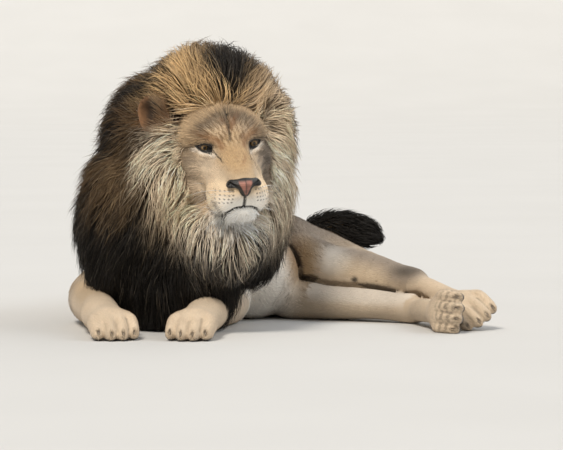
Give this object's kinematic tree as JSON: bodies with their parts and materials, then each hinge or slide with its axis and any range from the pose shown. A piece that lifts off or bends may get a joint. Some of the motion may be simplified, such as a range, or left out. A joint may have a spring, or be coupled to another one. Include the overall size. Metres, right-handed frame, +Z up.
{
  "type": "lion",
  "caption": "Life-size still model of a male lion at rest, head up, forelegs stretched forward and hind legs out to its left.",
  "frame": {"origin": "on the floor, under the middle of the bounding box", "axes": "+Z up; the lion faces -Y, its left side is +X and its tail is towards +Y"},
  "size_m": [1.0114, 1.6612, 0.6666],
  "materials": {
    "coat_tawny": "short tawny fur",
    "mane_tawny": "long tan and golden mane hair",
    "mane_dark": "long black-brown hair of the lower mane and the tail tuft",
    "nose_skin": "bare pebbled nose skin",
    "eye": "wet amber eye",
    "claw_horn": "dark polished horn"
  },
  "bodies": {
    "root": {"ear_left": "coat_tawny", "ear_right": "coat_tawny", "eye_left": "eye", "eye_right": "eye", "forearm_left": "coat_tawny", "forearm_right": "coat_tawny", "forepaw_left": "coat_tawny", "forepaw_left_claw_1": "claw_horn", "forepaw_left_claw_2": "claw_horn", "forepaw_left_claw_3": "claw_horn", "forepaw_left_claw_4": "claw_horn", "forepaw_left_claw_5": "claw_horn", "forepaw_right": "coat_tawny", "forepaw_right_claw_1": "claw_horn", "forepaw_right_claw_2": "claw_horn", "forepaw_right_claw_3": "claw_horn", "forepaw_right_claw_4": "claw_horn", "forepaw_right_claw_5": "claw_horn", "head": "coat_tawny", "hindpaw_left": "coat_tawny", "hindpaw_left_claw_1": "claw_horn", "hindpaw_left_claw_2": "claw_horn", "hindpaw_left_claw_3": "claw_horn", "hindpaw_left_claw_4": "claw_horn", "hindpaw_right": "coat_tawny", "hindpaw_right_claw_1": "claw_horn", "hindpaw_right_claw_2": "claw_horn", "hindpaw_right_claw_3": "claw_horn", "hindpaw_right_claw_4": "claw_horn", "hindquarters": "coat_tawny", "mane_chest": "mane_dark", "mane_neck": "mane_tawny", "mane_ruff": "mane_tawny", "mane_shoulder": "mane_dark", "nose": "nose_skin", "ribcage": "coat_tawny", "shank_left": "coat_tawny", "shank_right": "coat_tawny", "tail_middle": "coat_tawny", "tail_root": "coat_tawny", "tail_tuft": "mane_dark", "thigh_left": "coat_tawny", "thigh_right": "coat_tawny", "upper_arm_left": "coat_tawny", "upper_arm_right": "coat_tawny"}
  },
  "joints": []
}
